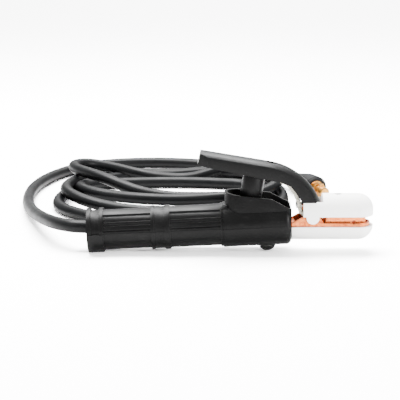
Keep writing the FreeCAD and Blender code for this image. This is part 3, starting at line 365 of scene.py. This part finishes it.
# The insulators: two white glass-filled covers, moulded with well rounded edges. One screw holds each over
# the outside of its jaw.
insulator_white = moulded("insulator_white", colour=(0.84, 0.84, 0.82), scuffed=(0.74, 0.73, 0.70),
                          roughness=0.4, grain=1800.0, height=0.15, scuff=0.25)
for node, body in (("lower_insulator", "root"), ("upper_insulator", "lever")):
    insulator = eased(node, width=0.7 * MM, body=body, steps=3)
    paint(insulator, insulator_white)

# The lever's arm: a plated steel strip, pressed and bent, that turns on the pivot pin. Its sheared sides are
# bare and speckled, and its faces and ends are painted a dull dark olive as the shade that falls on them.
SHADE_UNLESS_FACING = 0.6
arm = eased("lever_arm", width=0.3 * MM, body="lever")
paint(arm, bare_metal("arm_steel", light=(0.42, 0.40, 0.34), dark=(0.12, 0.115, 0.09), roughness=0.45,
                      speck=1400.0))
# A second, dark olive material: painted shade for the arm's faces and ends.
arm.data.materials.append(bare_metal("arm_painted_shade", light=(0.10, 0.095, 0.06), dark=(0.045, 0.04, 0.025),
                                     roughness=0.5, speck=700.0))
# Every face that does not face a side takes the painted shade.
for face in arm.data.polygons:
    if abs(face.normal.y) < SHADE_UNLESS_FACING:
        face.material_index = 1

# The lever's cover and the spring's cap: black nylon mouldings on the arm. A screw and a nut hold the crowned
# cover on its top, and a rivet holds the cap below it.
nylon_piece("lever_cover", width=0.5 * MM, body="lever", slot="lever_plastic", sharp=20.0)
nylon_piece("spring_cap", width=0.3 * MM, body="lever", slot="cap_plastic")

# The spring: a helix of bare steel wire between its seat in the cup and the cap under the lever, wound on
# a mandrel. It leans with the cap.
SPRING_R = 5.5
WIRE_R = 0.8
WIRE_SIDES = 10
SPRING_TURNS = 6.5
TURN_STEPS = 28
END_INSET = 1.7
spring_low, spring_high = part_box("spring")
lean = math.radians(9.3)
half_across = (SPRING_R + WIRE_R) * math.cos(lean) * MM
foot = Vector((spring_low.x + half_across, 0.0, spring_low.z + END_INSET * MM))
crown = Vector((spring_high.x - half_across, 0.0, spring_high.z - END_INSET * MM))
work = bmesh.new()
bmesh.ops.create_circle(work, cap_ends=False, segments=WIRE_SIDES, radius=WIRE_R * MM)
ring = work.verts[:]
bmesh.ops.rotate(work, verts=ring, cent=(0, 0, 0), matrix=Matrix.Rotation(math.pi / 2, 3, "X"))
bmesh.ops.translate(work, verts=ring, vec=(SPRING_R * MM, 0, 0))
steps = int(SPRING_TURNS * TURN_STEPS)
rise = (crown - foot).length / steps
bmesh.ops.spin(work, geom=work.verts[:] + work.edges[:], cent=(0, 0, 0), axis=(0, 0, 1), dvec=(0, 0, rise),
               angle=SPRING_TURNS * math.tau, steps=steps, use_merge=False, use_duplicate=False)
bmesh.ops.holes_fill(work, edges=[edge for edge in work.edges if edge.is_boundary], sides=WIRE_SIDES)
bmesh.ops.recalc_face_normals(work, faces=work.faces)
bmesh.ops.rotate(work, verts=work.verts, cent=(0, 0, 0), matrix=Matrix.Rotation(lean, 3, "Y"))
bmesh.ops.translate(work, verts=work.verts, vec=foot)
coil_spring = piece_of("coil_spring", work)
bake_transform(coil_spring)
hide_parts("spring")
paint(coil_spring, bare_metal("spring_steel", light=(0.42, 0.42, 0.43), dark=(0.30, 0.30, 0.31),
                              roughness=0.3, speck=500.0))

# The screws, the nut, the rivets and the pivot pin: turned and headed steel, driven in last. The three that
# show on black pieces are blackened.
black_steel = bare_metal("black_steel", light=(0.012, 0.012, 0.012), dark=(0.03, 0.03, 0.028), roughness=0.35)
for node in ("head_screw", "cap_rivet", "lever_cover_screw"):
    paint(nodes[node], black_steel)
for node in ("handle_screw", "pivot_pin", "jaw_rivets", "lever_cover_nut", "lower_insulator_screw",
             "upper_insulator_screw"):
    paint(nodes[node], steel)

# The floor and the surroundings: matt white, both shown brighter to the camera than they light the holder
# with.
FLOOR_HALF_SIDE = 6.0
FLOOR_LIGHTS, FLOOR_SHOWS = 0.75, 1.6
SKY_LIGHTS, SKY_SHOWS = 1.2, 14.0
floor_mesh = bmesh.new()
bmesh.ops.create_grid(floor_mesh, x_segments=1, y_segments=1, size=FLOOR_HALF_SIDE)
floor = piece_of("floor", floor_mesh)
floor_white = bpy.data.materials.new("floor_white")
floor_white.use_nodes = True
floor_tree = floor_white.node_tree
floor_tree.nodes.remove(floor_tree.nodes["Principled BSDF"])
matt = floor_tree.nodes.new("ShaderNodeBsdfDiffuse")
path = floor_tree.nodes.new("ShaderNodeLightPath")
seen = spread(floor_tree, path.outputs["Is Camera Ray"], 0.0, 1.0, FLOOR_LIGHTS, FLOOR_SHOWS)
floor_tree.links.new(seen.outputs["Result"], matt.inputs["Color"])
floor_tree.links.new(matt.outputs["BSDF"], floor_tree.nodes["Material Output"].inputs["Surface"])
paint(floor, floor_white)
world = bpy.data.worlds.new("studio")
bpy.context.scene.world = world
world.use_nodes = True
world_tree = world.node_tree
background = world_tree.nodes["Background"]
background.inputs["Color"].default_value = (1.0, 1.0, 1.0, 1.0)
sky_path = world_tree.nodes.new("ShaderNodeLightPath")
sky = spread(world_tree, sky_path.outputs["Is Camera Ray"], 0.0, 1.0, SKY_LIGHTS, SKY_SHOWS)
world_tree.links.new(sky.outputs["Result"], background.inputs["Strength"])


# The lights: one broad soft panel above and behind, a weak one on each side in front, and one for the
# background.
def panel(name, place, aim, size, power):
    """A rectangular soft light at a place, turned towards a point."""
    data = bpy.data.lights.new(name, "AREA")
    data.shape = "RECTANGLE"
    data.size, data.size_y = size
    data.energy = power
    light = bpy.data.objects.new(name, data)
    light.location = place
    light.rotation_euler = (Vector(aim) - Vector(place)).to_track_quat("-Z", "Y").to_euler()
    bpy.context.scene.collection.objects.link(light)


panel("overhead", place=(-0.2, 0.4, 1.25), aim=(0.0, 0.05, 0.0), size=(1.2, 0.6), power=165.0)
panel("key", place=(-1.1, -0.8, 0.9), aim=(0.0, 0.0, 0.03), size=(0.6, 0.6), power=8.0)
panel("backdrop", place=(0.0, 2.6, 2.2), aim=(0.0, 3.2, 0.0), size=(3.0, 1.0), power=260.0)
panel("fill", place=(1.0, -0.9, 0.5), aim=(0.0, 0.0, 0.03), size=(0.5, 0.5), power=44.0)
